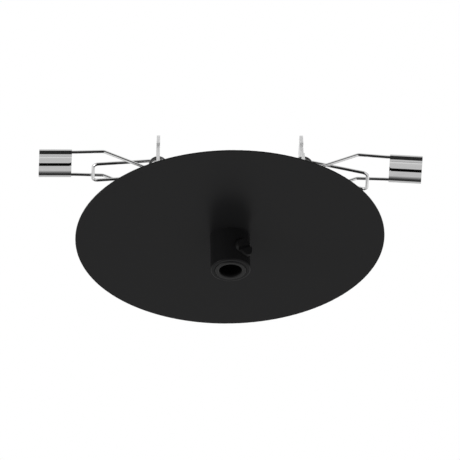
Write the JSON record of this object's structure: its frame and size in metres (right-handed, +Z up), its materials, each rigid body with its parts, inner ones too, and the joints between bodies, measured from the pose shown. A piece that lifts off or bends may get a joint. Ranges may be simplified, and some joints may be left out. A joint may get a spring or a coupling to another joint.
{
  "type": "ceiling cable outlet with spring clips",
  "caption": "Flat round cover plate for a hole in a ceiling, with a screwed cord grip below and two double torsion spring clips on a strap bracket above.",
  "frame": {"origin": "centre of the cover plate's back face, which lies against the ceiling", "axes": "+Z up into the ceiling along the cord, +X along the line of the two clips towards the right one, -Y to the front"},
  "size_m": [0.1491, 0.12, 0.0592],
  "materials": {
    "dark_paint": "satin",
    "black_nylon": "satin",
    "zinc_steel": "satin",
    "strap_steel": "satin",
    "spring_steel": "polished",
    "sleeve_sheet": "satin",
    "brass": "satin"
  },
  "bodies": {
    "root": {"cover_plate": "dark_paint", "grip_shell": "dark_paint", "grip_core": "black_nylon", "threaded_tube": "zinc_steel", "flat_washer": "zinc_steel", "lock_washer": "zinc_steel", "hex_nut": "zinc_steel", "tube_bush": "black_nylon", "mounting_strap": "strap_steel", "left_post": "strap_steel", "right_post": "strap_steel", "earth_screw": "brass", "earth_washer": "brass", "earth_nut": "brass"},
    "clamp_screw": {"grip_screw": "dark_paint"},
    "left_spring": {"left_spring_bridge": "spring_steel"},
    "left_arms": {"left_spring_front_arm": "spring_steel", "left_spring_rear_arm": "spring_steel", "left_clip_sleeve": "sleeve_sheet"},
    "right_spring": {"right_spring_bridge": "spring_steel"},
    "right_arms": {"right_spring_front_arm": "spring_steel", "right_spring_rear_arm": "spring_steel", "right_clip_sleeve": "sleeve_sheet"}
  },
  "joints": [
    {"name": "left_swing", "type": "hinge", "parent": "root", "child": "left_spring", "pos_m": [-0.02775, 0, 0.0292], "axis": [0, 1, 0], "range_deg": [-47, 71]},
    {"name": "left_fold", "type": "hinge", "parent": "left_spring", "child": "left_arms", "pos_m": [-0.02775, 0, 0.0292], "axis": [0, 1, 0], "range_deg": [0, 30], "stiffness_Nm_per_rad": 1.1},
    {"name": "right_swing", "type": "hinge", "parent": "root", "child": "right_spring", "pos_m": [0.0291, 0, 0.0292], "axis": [0, -1, 0], "range_deg": [-45, 82]},
    {"name": "right_fold", "type": "hinge", "parent": "right_spring", "child": "right_arms", "pos_m": [0.0291, 0, 0.0292], "axis": [0, -1, 0], "range_deg": [0, 30], "stiffness_Nm_per_rad": 1.1},
    {"name": "clamp_screw_slide", "type": "slide", "parent": "root", "child": "clamp_screw", "axis": [-0.682, 0.7314, 0], "range_m": [0, 0.0012]}
  ]
}
